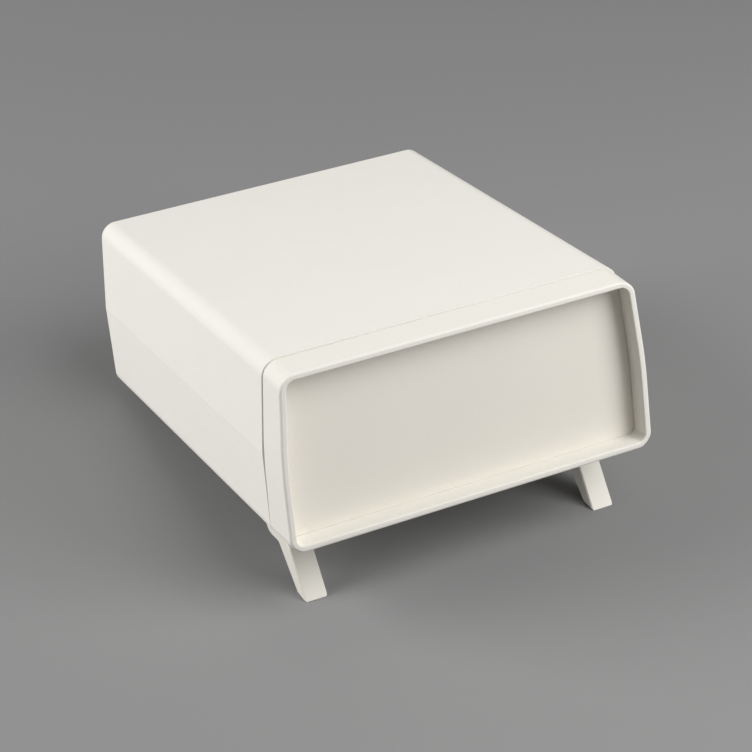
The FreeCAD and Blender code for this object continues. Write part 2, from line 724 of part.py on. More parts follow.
for side in SIDES:
    middle = leg_centre(side)
    leg = new_body(f"tilt_leg_{side}")
    sketch = new_sketch(leg, "side_outline", "YZ_Plane", middle)
    outline(sketch, [
        ("sole_front_y", SOLE_Z),
        (*knee_line("knee_length"), "knee_radius"),
        (HEAD_REAR_Y, HEAD_TOP_Z, "leg_head_radius"),
        (HEAD_REAR_Y, HEAD_UNDER_Z, "leg_head_radius - head_flat"),
        (f"pivot_y - leg_head_radius / tan({REAR_ANGLE})", HEAD_UNDER_Z, "heel_radius"),
        (SOLE_REAR_Y, SOLE_REAR_Z),
    ])
    pad(leg, sketch, "beam", "leg_width", middle=True)
    face_x = [num(f"{middle} + {s} * leg_width / 2") for s in (-1, 1)]
    trim_edges(
        leg, "side_bevels", "leg_bevel",
        lambda e: any(all(abs(v.X - x) < 1e-4 for v in e.Vertexes) for x in face_x),
        "Chamfer",
    )
    sketch = new_sketch(leg, "fork_circle", "YZ_Plane", middle)
    circle(sketch, "pivot_y", PIVOT_Z, "fork_radius")
    pocket(leg, sketch, "fork", "fork_slot", middle=True)
    sketch = new_sketch(leg, "core_outlines", "XY_Plane", SOLE_REAR_Z)
    bind(sketch, "AttachmentOffset.Base.y", SOLE_REAR_Y)
    turn(sketch, REAR_ANGLE)
    for sign in SIDES.values():
        outline(sketch, box_corners(
            f"{middle} + {sign}(core_web / 2)",
            f"{middle} + {sign}(leg_width / 2 - core_skin)",
            "core_start",
            "core_end",
        ))
    pocket(leg, sketch, "cores", "core_depth", toward=1)
    sketch = new_sketch(leg, "pin_circle", "YZ_Plane", middle)
    circle(sketch, "pivot_y", PIVOT_Z, "pin_radius + pin_play")
    pocket(leg, sketch, "pin_hole")

    bracket = new_body(f"foot_bracket_{side}")
    sketch = new_sketch(bracket, "plate_outline", "XY_Plane", "-floor_height + plate_sink")
    outline(sketch, plate_corners(side, "0"))
    pad(bracket, sketch, "plate", "plate_thickness", toward=-1)
    plate_mid = "-floor_height + plate_sink - plate_thickness / 2"
    sketch = new_sketch(bracket, "lug_outline", "YZ_Plane", middle)
    outline(sketch, box_corners("pivot_y - lug_radius", "pivot_y + lug_radius", PIVOT_Z, plate_mid))
    pad(bracket, sketch, "lug_neck", "lug_width", middle=True)
    sketch = new_sketch(bracket, "lug_circle", "YZ_Plane", middle)
    circle(sketch, "pivot_y", PIVOT_Z, "lug_radius")
    pad(bracket, sketch, "lug", "lug_width", middle=True)
    near, far = knee_line("stop_near", "stop_play"), knee_line("stop_far", "stop_play")
    sketch = new_sketch(bracket, "stop_outline", "YZ_Plane", middle)
    outline(sketch, [near, far, (f"{far[0]} - stop_slope", plate_mid), (near[0], plate_mid)])
    pad(bracket, sketch, "stop", "leg_width", middle=True)
    sketch = new_sketch(bracket, "pin_circle", "YZ_Plane", middle)
    circle(sketch, "pivot_y", PIVOT_Z, "pin_radius + 2 * pin_play")
    pocket(bracket, sketch, "pin_hole")
    sketch = new_sketch(bracket, "peg_circles", "XY_Plane", "-floor_height + plate_sink")
    for row in PEG_ROWS:
        circle(sketch, middle, row, "peg_radius")
    pad(bracket, sketch, "pegs", "peg_height")
    under = "-floor_height + plate_sink - plate_thickness"
    sketch = new_sketch(bracket, "head_circle", "XY_Plane", under)
    circle(sketch, middle, SCREW_Y, "bracket_head_radius + bracket_head_play")
    pocket(bracket, sketch, "head_recess", "bracket_head_height", toward=1)
    sketch = new_sketch(bracket, "screw_circle", "XY_Plane", under)
    circle(sketch, middle, SCREW_Y, "bracket_screw_radius + bracket_head_play")
    pocket(bracket, sketch, "screw_hole", "plate_thickness", toward=1)

    pin = new_body(f"leg_pin_{side}")
    sketch = new_sketch(pin, "pin_circle", "YZ_Plane", middle)
    circle(sketch, "pivot_y", PIVOT_Z, "pin_radius")
    pad(pin, sketch, "pin", "leg_width - 2 * pin_inset", middle=True)

    foot = new_body(f"rear_foot_{side}")
    sketch = new_sketch(foot, "profile", "YZ_Plane", middle, shift_y=FOOT_Y)
    outline(sketch, [
        ("0", "-floor_height - foot_height"),
        ("foot_flat_radius", "-floor_height - foot_height"),
        ("foot_radius", "-floor_height + foot_sink"),
        ("stem_radius", "-floor_height + foot_sink"),
        ("stem_radius", "-floor_height + wall + foot_play"),
        ("barb_radius", "-floor_height + wall + foot_play"),
        ("barb_tip_radius", "-floor_height + wall + foot_play + barb_height"),
        ("0", "-floor_height + wall + foot_play + barb_height"),
    ])
    turned = foot.newObject("PartDesign::Revolution", "turned")
    turned.Profile = sketch
    turned.ReferenceAxis = (sketch, ["V_Axis"])
    turned.Angle = 360
    sketch.Visibility = False
    doc.recompute()

# Board supports, four pillars of one kind
supports = new_body("board_supports")
sketch = new_sketch(supports, "pillar_circles", "XY_Plane", f"{FLOOR_INSIDE} - support_sink")
for x, y in SUPPORTS:
    circle(sketch, x, y, "support_radius")
pad(supports, sketch, "pillars", "support_sink + support_height")
sketch = new_sketch(supports, "pilot_circles", "XY_Plane", f"{FLOOR_INSIDE} + support_height")
for x, y in SUPPORTS:
    circle(sketch, x, y, "support_pilot_radius")
pocket(supports, sketch, "pilots", "support_pilot_depth", toward=-1)

# Fasteners, each kind one group of separate pieces
inserts = new_body("boss_inserts")
sketch = new_sketch(inserts, "insert_circles", "XY_Plane", "insert_sink")
for x, y in COLUMNS:
    circle(sketch, x, y, "insert_radius")
    circle(sketch, x, y, "case_screw_radius + thread_play")
pad(inserts, sketch, "inserts", "insert_height")

case_screws = new_body("case_screws")
sketch = new_sketch(case_screws, "shank_circles", "XY_Plane", "-head_depth")
for x, y in COLUMNS:
    circle(sketch, x, y, "case_screw_radius")
pad(case_screws, sketch, "shanks", "head_depth + insert_sink + insert_height")
sketch = new_sketch(case_screws, "head_circles", "XY_Plane", "-head_depth")
for x, y in COLUMNS:
    circle(sketch, x, y, "case_head_radius")
pad(case_screws, sketch, "heads", "case_head_height", toward=-1)
sketch = new_sketch(case_screws, "drive_circles", "XY_Plane", "-head_depth - case_head_height")
for x, y in COLUMNS:
    circle(sketch, x, y, "drive_radius")
pocket(case_screws, sketch, "drives", "drive_depth", toward=1)

bracket_screws = new_body("bracket_screws")
head_top = "-floor_height + plate_sink - plate_thickness + bracket_head_height"
for name, at, radius, length, toward in (
    ("shanks", head_top, "bracket_screw_radius",
     "plate_thickness - bracket_head_height + bracket_screw_length - bracket_head_play", 1),
    ("heads", head_top, "bracket_head_radius", "bracket_head_height - bracket_head_play", -1),
):
    sketch = new_sketch(bracket_screws, name + "_circles", "XY_Plane", at)
    for side in SIDES:
        circle(sketch, leg_centre(side), SCREW_Y, radius)
    pad(bracket_screws, sketch, name, length, toward=toward)

panel_screws = new_body("panel_screws")
for name, radius, length, toward in (
    ("shanks", "panel_screw_radius", "panel_pilot_depth - panel_boss_play", -1),
    ("heads", "panel_head_radius", "panel_head_height", 1),
):
    sketch = leaning_sketch(panel_screws, name + "_circles", LEDGE_BACK)
    for x, y in PANEL_SCREWS:
        circle(sketch, x, y, radius)
    pad(panel_screws, sketch, name, length, toward=toward)

# Lean all pieces back by the standing angle and set them on the ground
doc.recompute()
pieces = [item for item in doc.Objects if item.TypeId == "PartDesign::Body"]
lean_back = FreeCAD.Rotation(V(1, 0, 0), -num(TILT))
everything = Part.makeCompound([piece.Shape for piece in pieces])
everything.Placement = FreeCAD.Placement(V(0, 0, 0), lean_back)
span = everything.optimalBoundingBox(True, False)
ground = lean_back.multVec(V(0, num("sole_front_y"), num(SOLE_Z))).z
stand = FreeCAD.Placement(V(0, -(span.YMin + span.YMax) / 2, -ground), lean_back)
for piece in pieces:
    piece.Placement = stand
doc.recompute()

# Check every object, then write one file a piece
for item in doc.Objects:
    assert not {"Invalid", "Error"} & set(item.State), f"{item.Label} is {item.State}"
os.makedirs("parts", exist_ok=True)
for piece in pieces:
    shape = piece.Shape
    assert not shape.isNull() and shape.isValid(), f"{piece.Label} has no sound shape"
    shape.exportStep(f"parts/{piece.Label}.step")
    print(f"{piece.Label}: {len(shape.Solids)} solid(s), {shape.Volume:.0f} mm3")
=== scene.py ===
"""Moulded instrument housing on its open tilt legs: surfaces, finishes and studio.

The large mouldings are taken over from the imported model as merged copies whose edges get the
small radii of a mould. The turned and pressed small parts are surfaces of revolution worked
out here with numpy. Lengths in the classes are in mm in the frame of the case, whose origin
is at mid width, in the seam of shells and bezel, at the height of the parting line.
"""

import json
import logging
import math
from dataclasses import dataclass
from enum import Enum
from typing import Callable, Sequence

import bmesh
import bpy
import numpy as np
from mathutils import Matrix, Vector

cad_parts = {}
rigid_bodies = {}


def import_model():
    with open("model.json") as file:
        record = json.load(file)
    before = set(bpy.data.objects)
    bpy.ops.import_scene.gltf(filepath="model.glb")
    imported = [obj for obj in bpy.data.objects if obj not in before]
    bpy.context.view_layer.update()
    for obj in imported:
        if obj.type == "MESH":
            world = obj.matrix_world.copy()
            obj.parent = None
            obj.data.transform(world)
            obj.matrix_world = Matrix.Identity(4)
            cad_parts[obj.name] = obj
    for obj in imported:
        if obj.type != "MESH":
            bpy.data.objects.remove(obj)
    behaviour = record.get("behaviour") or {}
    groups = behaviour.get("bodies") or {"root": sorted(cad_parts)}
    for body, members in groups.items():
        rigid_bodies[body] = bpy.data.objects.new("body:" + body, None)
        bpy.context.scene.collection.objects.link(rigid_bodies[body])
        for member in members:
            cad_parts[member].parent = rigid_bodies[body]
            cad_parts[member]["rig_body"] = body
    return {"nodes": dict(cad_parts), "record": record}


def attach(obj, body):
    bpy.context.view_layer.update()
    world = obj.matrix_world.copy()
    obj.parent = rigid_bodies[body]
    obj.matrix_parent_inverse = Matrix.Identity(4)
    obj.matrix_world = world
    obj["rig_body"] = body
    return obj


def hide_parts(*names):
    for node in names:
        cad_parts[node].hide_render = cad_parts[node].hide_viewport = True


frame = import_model()

MM = 0.001
# Octaves of the patches of colour and of the grain, and the strength of the grain's bump
CLOUD_DETAIL = 3.0
GRAIN_DETAIL = 2.0
BUMP_STRENGTH = 0.6
# Numbers of the colour sockets of a mix node, which has other sockets of the same names
MIX_FIRST, MIX_SECOND, MIX_RESULT = 6, 7, 2
# Pull of wide faces on the shading of the rounds beside them, where 50 favours neither
WIDE_FACE_PULL = 80
# Refractive index of ABS, near that of rubber and paper, and the plain one of a bare metal
PLASTIC_IOR = 1.53
PLAIN_IOR = 1.5

Point = tuple[float, float, float]
log = logging.getLogger("housing")


class Side(Enum):
    """Side of the case, with the sign of its X."""

    LEFT = -1
    RIGHT = 1


class Grain(Enum):
    """Surface of the mould or tool: size and depth of its grain in mm.

    A spark-eroded mould leaves a grain of about 0.2 mm and a satin one of about 0.15 mm. Both
    are too fine to show at this distance, so they are drawn six times as coarse, and so deep
    that they just show in the soft light.
    """

    ERODED = (1.2, 0.18)
    SATIN = (0.9, 0.07)
    MATT = (0.35, 0.012)
    DRAWN = (0.08, 0.002)


# Frame of the case
@dataclass(frozen=True)
class CaseFrame:
    """Turn about X and shift that carry the frame of the case into the row frame.

    A point (x, y, z) goes to (x, y cos t + z sin t, z cos t - y sin t) plus the base point.

    Attributes:
        turn: matrix of the turn.
        base: place of the case's origin, in metres.
    """

    turn: np.ndarray
    base: np.ndarray

    @classmethod
    def of(cls, record: dict, pivot: Point) -> "CaseFrame":
        """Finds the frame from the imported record.

        Args:
            record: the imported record, with its mounts and joints.
            pivot: the left leg's pivot in the frame of the case, in mm.

        Returns:
            The frame of the case as it stands.
        """
        up = next(m["axis"] for m in record["mounts"] if m["kind"] == "bore")
        sin, cos = up[1], up[2]
        turn = np.array([[1.0, 0.0, 0.0], [0.0, cos, sin], [0.0, -sin, cos]])
        joint = next(j for j in record["behaviour"]["joints"] if "left" in j["name"])
        base = np.array(joint["pos_m"]) - turn @ (np.array(pivot) * MM)
        return cls(turn, base)

    def points(self, points: np.ndarray) -> np.ndarray:
        """Points in mm of the case as points in metres of the row frame."""
        return np.asarray(points, float) * MM @ self.turn.T + self.base

    def local(self, points: np.ndarray) -> np.ndarray:
        """Points in metres of the row frame as points in mm of the case."""
        return (np.asarray(points, float) - self.base) @ self.turn / MM

    def along(self, direction: Point) -> np.ndarray:
        """A direction of the case as a unit direction of the row frame."""
        turned = self.turn @ np.asarray(direction, float)
        return turned / np.linalg.norm(turned)


# Materials
def linear(hex_colour: str) -> tuple[float, float, float, float]:
    """Turns an sRGB hex colour to linear.

    Args:
        hex_colour: a colour such as "#E8E6DE".

    Returns:
        Linear red, green and blue, and full opacity.
    """
    srgb = np.array([int(hex_colour[i : i + 2], 16) for i in (1, 3, 5)]) / 255.0
    low, high = srgb / 12.92, ((srgb + 0.055) / 1.055) ** 2.4
    return (*np.where(srgb <= 0.04045, low, high).tolist(), 1.0)


def add_node(
    tree: bpy.types.NodeTree, kind: str, inputs: dict | None = None, **settings: object
) -> bpy.types.Node:
    """Adds one shader node.

    Args:
        tree: node tree that the node goes into.
        kind: type name of the node.
        inputs: value or output socket for each named or numbered input.
        **settings: properties of the node itself.

    Returns:
        The new node.
    """
    node = tree.nodes.new(kind)
    for name, value in settings.items():
        setattr(node, name, value)
    for name, value in (inputs or {}).items():
        if isinstance(value, bpy.types.NodeSocket):
            tree.links.new(value, node.inputs[name])
        else:
            node.inputs[name].default_value = value
    return node


@dataclass(frozen=True)
class Finish:
    """A real material with a little uneven colour, uneven gloss and a fine grain.

    The colour wanders between two close tones over patches, the roughness around its mean
    with the grain. The grain is a bump of the size and depth of the tool's surface.

    Attributes:
        name: name of the material.
        tone: sRGB hex colour.
        second_tone: the other end of the colour's range.
        roughness: mean roughness.
        grain: surface that the mould or tool leaves.
        gloss_spread: how far the roughness wanders to each side.
        cloud_mm: size of the patches of colour.
        metallic: 1 for a bare metal, 0 for all else.
        ior: refractive index.
        stretch: scale of the grain along X, Y and Z, small where it is drawn out.
    """

    name: str
    tone: str
    second_tone: str
    roughness: float
    grain: Grain
    gloss_spread: float = 0.05
    cloud_mm: float = 24.0
    metallic: float = 0.0
    ior: float = PLASTIC_IOR
    stretch: Point = (1.0, 1.0, 1.0)

    def build(self) -> bpy.types.Material:
        """Builds the material.

        Returns:
            The material, textured in object coordinates in real mm.
        """
        material = bpy.data.materials.new(self.name)
        material.use_nodes = True
        tree = material.node_tree
        tree.nodes.clear()
        size, depth = self.grain.value
        spot = add_node(tree, "ShaderNodeTexCoord").outputs["Object"]
        stretched = add_node(
            tree, "ShaderNodeMapping", {"Vector": spot, "Scale": self.stretch}
        ).outputs["Vector"]
        cloud = add_node(
            tree,
            "ShaderNodeTexNoise",
            {"Vector": spot, "Scale": 1 / (self.cloud_mm * MM), "Detail": CLOUD_DETAIL},
        ).outputs["Fac"]
        fine = add_node(
            tree,
            "ShaderNodeTexNoise",
            {"Vector": stretched, "Scale": 1 / (size * MM), "Detail": GRAIN_DETAIL},
        ).outputs["Fac"]
        tones = {MIX_FIRST: linear(self.tone), MIX_SECOND: linear(self.second_tone)}
        colour = add_node(
            tree, "ShaderNodeMix", {"Factor": cloud, **tones}, data_type="RGBA"
        ).outputs[MIX_RESULT]
        gloss = add_node(
            tree,
            "ShaderNodeMapRange",
            {
                "Value": fine,
                "To Min": self.roughness - self.gloss_spread,
                "To Max": self.roughness + self.gloss_spread,
            },
        ).outputs["Result"]
        bump = add_node(
            tree,
            "ShaderNodeBump",
            {"Height": fine, "Distance": depth * MM, "Strength": BUMP_STRENGTH},
        ).outputs["Normal"]
        surface = add_node(
            tree,
            "ShaderNodeBsdfPrincipled",
            {
                "Base Color": colour,
                "Roughness": gloss,
                "Normal": bump,
                "Metallic": self.metallic,
                "IOR": self.ior,
            },
        )
        add_node(tree, "ShaderNodeOutputMaterial", {"Surface": surface.outputs["BSDF"]})
        return material


# ABS from a spark-eroded mould, coloured right through: an even off-white, dull, faintly grained
SHELL_ABS = Finish("abs_off_white_eroded", "#ECEAE2", "#EAE7DF", 0.7, Grain.ERODED)
# The same ABS from a slightly smoother mould: a shade warmer, with tighter lights on its rounds
BEZEL_ABS = Finish("abs_off_white_bezel", "#ECE9E1", "#E9E6DD", 0.6, Grain.ERODED)
# ABS plate with a satin face: a shade greyer than the mouldings, with a low sheen
PANEL_ABS = Finish("abs_satin_panel", "#E8E4DA", "#E6E1D7", 0.45, Grain.SATIN, cloud_mm=60.0)
# Glass-filled ABS of legs and brackets, from a satin mould: off-white with a low sheen
LEG_ABS = Finish("abs_leg_satin", "#E9E5DB", "#E4E0D5", 0.45, Grain.SATIN)
# Moulded nitrile rubber: dark grey and dull, almost without lights
FOOT_RUBBER = Finish("nitrile_rubber_grey", "#2E2E2D", "#262625", 0.75, Grain.MATT, cloud_mm=6.0)
# Drawn steel, zinc plated: a cool, bright grey with fine streaks across the case
ZINC_STEEL = Finish(
    "steel_zinc_plated", "#C9CACB", "#BBBDC0", 0.3, Grain.DRAWN,
    gloss_spread=0.08, cloud_mm=2.0, metallic=1.0, ior=PLAIN_IOR, stretch=(0.15, 1.0, 1.0),
)
# Free-cutting brass, turned: a warm yellow metal with fine upright streaks
TURNED_BRASS = Finish(
    "brass_turned", "#D2AE6A", "#C49B55", 0.28, Grain.DRAWN,
    gloss_spread=0.08, cloud_mm=2.0, metallic=1.0, ior=PLAIN_IOR, stretch=(1.0, 1.0, 0.15),
)
# Uncoated paper of the studio's floor: an even, dull grey
FLOOR_PAPER = Finish("paper_grey", "#888888", "#868686", 0.85, Grain.MATT, cloud_mm=300.0)


# Meshes
def new_object(
    name: str, vertices: np.ndarray, faces: Sequence[Sequence[int]], finish: Finish
) -> bpy.types.Object:
    """Makes a smooth object at the origin from worked-out vertices and faces.

    Args:
        name: name of the piece.
        vertices: points in metres of the row frame.
        faces: corner numbers of each face, outward side by the right-hand rule.
        finish: material of the whole piece.

    Returns:
        The new object, linked to the scene.
    """
    mesh = bpy.data.meshes.new(name)
    mesh.from_pydata(vertices.tolist(), [], faces)
    mesh.update()
    mesh.polygons.foreach_set("use_smooth", np.ones(len(mesh.polygons), bool))
    piece = bpy.data.objects.new(name, mesh)
    bpy.context.scene.collection.objects.link(piece)
    piece.data.materials.append(finish.build())
    return piece


def even_normals(piece: bpy.types.Object) -> None:
    """Lets the wide faces hold the shading flat, so that only the rounds turn it.

    Args:
        piece: the piece, with its other modifiers already on it.
    """
    last = piece.modifiers.new("even_normals", "WEIGHTED_NORMAL")
    last.mode = "FACE_AREA"
    last.weight = WIDE_FACE_PULL
    last.keep_sharp = True


def settle(piece: bpy.types.Object, nodes: tuple[str, ...]) -> bpy.types.Object:
    """Lets a piece ride on its CAD body and stand for its CAD nodes.

    Args:
        piece: the finished piece.
        nodes: the CAD nodes, all on one body.

    Returns:
        The same piece.
    """
    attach(piece, frame["nodes"][nodes[0]]["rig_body"])
    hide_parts(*nodes)
    return piece


@dataclass
class Moulding:
    """One moulded piece, taken over from its CAD node with the radii of a mould.

    Attributes:
        node: name of the CAD node.
        slot: material slot of the record; not used.
        finish: material.
        edge_mm: radius of every edge sharper than edge_angle.
        edge_angle: angle in degrees from which an edge counts as sharp.
        weld_mm: distance under which corners are one.
        flat_angle: angle in degrees under which neighbouring faces are one flat face.
        round_steps: faces across each rounded edge.
        form: function that gives corners, in mm of the case, their moulded place.
    """

    node: str
    slot: str
    finish: Finish
    edge_mm: float = 0.25
    edge_angle: float = 32.0
    weld_mm: float = 0.0005
    flat_angle: float = 0.6
    round_steps: int = 2
    form: Callable[[np.ndarray], np.ndarray] | None = None

    def merged(self) -> tuple[np.ndarray, np.ndarray]:
        """Corners and triangles of the node, with corners at one place made one.

        Returns:
            Unique corners in metres and the triangles that are left.
        """
        mesh = frame["nodes"][self.node].data
        mesh.calc_loop_triangles()
        corners = np.empty(len(mesh.vertices) * 3)
        mesh.vertices.foreach_get("co", corners)
        corners = corners.reshape(-1, 3)
        triangles = np.empty(len(mesh.loop_triangles) * 3, np.int32)
        mesh.loop_triangles.foreach_get("vertices", triangles)
        cells = np.round(corners / (self.weld_mm * MM)).astype(np.int64)
        _, first, where = np.unique(cells, axis=0, return_index=True, return_inverse=True)
        triangles = where.reshape(-1)[triangles].reshape(-1, 3)
        spread = [triangles[:, i] != triangles[:, (i + 1) % 3] for i in range(3)]
        return corners[first], triangles[np.all(spread, axis=0)]

    def build(self, case: CaseFrame) -> bpy.types.Object:
        """Builds the piece: corners put in place, flat areas made whole, edges rounded.

        Args:
            case: frame of the case.

        Returns:
            The object in the row frame.
        """
        corners, triangles = self.merged()
        if self.form:
            corners = case.points(self.form(case.local(corners)))
        piece = new_object(self.node + "_moulded", corners, triangles.tolist(), self.finish)
        work = bmesh.new()
        work.from_mesh(piece.data)
        flat = math.radians(self.flat_angle)
        bmesh.ops.dissolve_limit(work, angle_limit=flat, verts=work.verts, edges=work.edges)
        work.to_mesh(piece.data)
        work.free()
        rounds = piece.modifiers.new("mould_radii", "BEVEL")
        rounds.width = self.edge_mm * MM
        rounds.segments = self.round_steps
        rounds.limit_method = "ANGLE"
        rounds.angle_limit = math.radians(self.edge_angle)
        rounds.use_clamp_overlap = False
        even_normals(piece)
        return settle(piece, (self.node,))


def softened(corners: Sequence[Point], steps: int = 4) -> np.ndarray:
    """Profile of radius and height through corners, each rounded by its own radius.

    Every rounded corner is an arc tangent to both of its lines, in equal angle steps.

    Args:
        corners: (radius, height, round) in mm, in order.
        steps: number of spans of each arc.

    Returns:
        The points of the profile.
    """
    points = [np.array(corners[0][:2])]
    for before, here, after in zip(corners, corners[1:], corners[2:]):
        spot, size = np.array(here[:2]), here[2]
        if not size:
            points.append(spot)
            continue
        into = np.array(before[:2]) - spot
        away = np.array(after[:2]) - spot
        into, away = into / np.linalg.norm(into), away / np.linalg.norm(away)
        half = math.acos(np.clip(into @ away, -1.0, 1.0)) / 2
        centre = spot + (into + away) / np.linalg.norm(into + away) * size / math.sin(half)
        start = spot + into * size / math.tan(half) - centre
        end = spot + away * size / math.tan(half) - centre
        swing = np.arctan2(start[0] * end[1] - start[1] * end[0], start @ end)
        angles = swing * np.linspace(0, 1, steps + 1)
        cos, sin = np.cos(angles), np.sin(angles)
        arc = np.stack([start[0] * cos - start[1] * sin, start[0] * sin + start[1] * cos], 1)
        points.extend(centre + arc)
    points.append(np.array(corners[-1][:2]))
    return np.array(points)


@dataclass
class Turned:
    """Equal pieces of revolution, closed at both poles.

    The surface is (q cos a, q sin a, h) over a profile (r, h) and the angle a. The reach q
    is r (1 + u lobe_depth cos(lobes a)) - w thread_depth (1 - cos(2 pi h / pitch - a)) / 2,
    where u and w are the lobe and thread weights of the row, so that a socket's lobes and a
    thread's helix stand in the same grid as the rest.

    Attributes:
        name: name of the piece.
        nodes: CAD nodes that it stands for.
        slot: material slot of the record; not used.
        finish: material.
        profile: points (radius, height) in mm from the low pole to the high pole.
        seats: foot of each axis in the frame of the case, in mm.
        axis: direction of the axes in the frame of the case.
        lobed: lobe weight, 0 to 1, of each point of the profile.
        threaded: thread weight, 0 to 1, of each point of the profile.
        lobes: number of lobes around.
        lobe_depth: share of the radius that the lobes take.
        pitch: rise of the thread in one turn, in mm.
        thread_depth: depth of the thread in mm.
        around: number of steps around.
    """

    name: str
    nodes: tuple[str, ...]
    slot: str
    finish: Finish
    profile: np.ndarray
    seats: Sequence[Point]
    axis: Point = (0.0, 0.0, 1.0)
    lobed: np.ndarray | float = 0.0
    threaded: np.ndarray | float = 0.0
    lobes: int = 6
    lobe_depth: float = 0.12
    pitch: float = 1.0
    thread_depth: float = 0.0
    around: int = 72

    def grid(self) -> np.ndarray:
        """Works out the rows between the poles, by the formula of the class.

        Returns:
            Points in mm about an upright axis, by row and step.
        """
        angle = np.arange(self.around) * (2 * math.pi / self.around)
        radius, height = self.profile[1:-1, :1], self.profile[1:-1, 1:]
        inner = np.ones(len(self.profile))
        lobe = (inner * self.lobed)[1:-1, None]
        thread = (inner * self.threaded)[1:-1, None]
        reach = radius * (1 + self.lobe_depth * lobe * np.cos(self.lobes * angle))
        turn = 2 * math.pi * height / self.pitch - angle
        reach = reach - self.thread_depth * thread * (1 - np.cos(turn)) / 2
        return np.stack([reach * np.cos(angle), reach * np.sin(angle), height + 0 * reach], -1)

    def skin(self, rows: int) -> tuple[np.ndarray, np.ndarray]:
        """Corner numbers of the faces of one piece, whose two poles follow its grid.

        Args:
            rows: number of rows between the poles.

        Returns:
            Quads between neighbouring rows, and triangles from the end rows to the poles.
        """
        step = self.around
        row, spot = np.meshgrid(np.arange(rows - 1), np.arange(step), indexing="ij")
        beside = (spot + 1) % step
        quads = np.stack(
            [row * step + spot, row * step + beside,
             (row + 1) * step + beside, (row + 1) * step + spot], -1,
        ).reshape(-1, 4)
        ring = np.arange(step)
        nearer = (ring + 1) % step
        last = (rows - 1) * step
        low = np.stack([nearer, ring, np.full(step, rows * step)], -1)
        high = np.stack([last + ring, last + nearer, np.full(step, rows * step + 1)], -1)
        return quads, np.concatenate([low, high])

    def basis(self) -> np.ndarray:
        """Own axes of a piece in the frame of the case.

        Returns:
            Two directions across the axis and the axis itself, as rows.
        """
        up = np.array(self.axis) / np.linalg.norm(self.axis)
        lies_along_x = abs(up[0]) > 0.5
        aside = (0.0, 0.6, 0.8) if lies_along_x else (1.0, 0.0, 0.0)
        across = np.cross(up, aside)
        across /= np.linalg.norm(across)
        return np.stack([across, np.cross(up, across), up])

    def build(self, case: CaseFrame) -> bpy.types.Object:
        """Builds all the pieces as one object.

        Args:
            case: frame of the case.

        Returns:
            The object in the row frame.
        """
        grid = self.grid()
        poles = np.array([[0, 0, self.profile[0, 1]], [0, 0, self.profile[-1, 1]]])
        local = np.concatenate([grid.reshape(-1, 3), poles])
        placed = (local @ self.basis())[None] + np.array(self.seats)[:, None]
        quads, ends = self.skin(len(grid))
        shift = np.arange(len(self.seats))[:, None, None] * len(local)
        faces = (quads + shift).reshape(-1, 4).tolist()
        faces += (ends + shift).reshape(-1, 3).tolist()
        piece = new_object(self.name, case.points(placed.reshape(-1, 3)), faces, self.finish)
        even_normals(piece)
        return settle(piece, self.nodes)


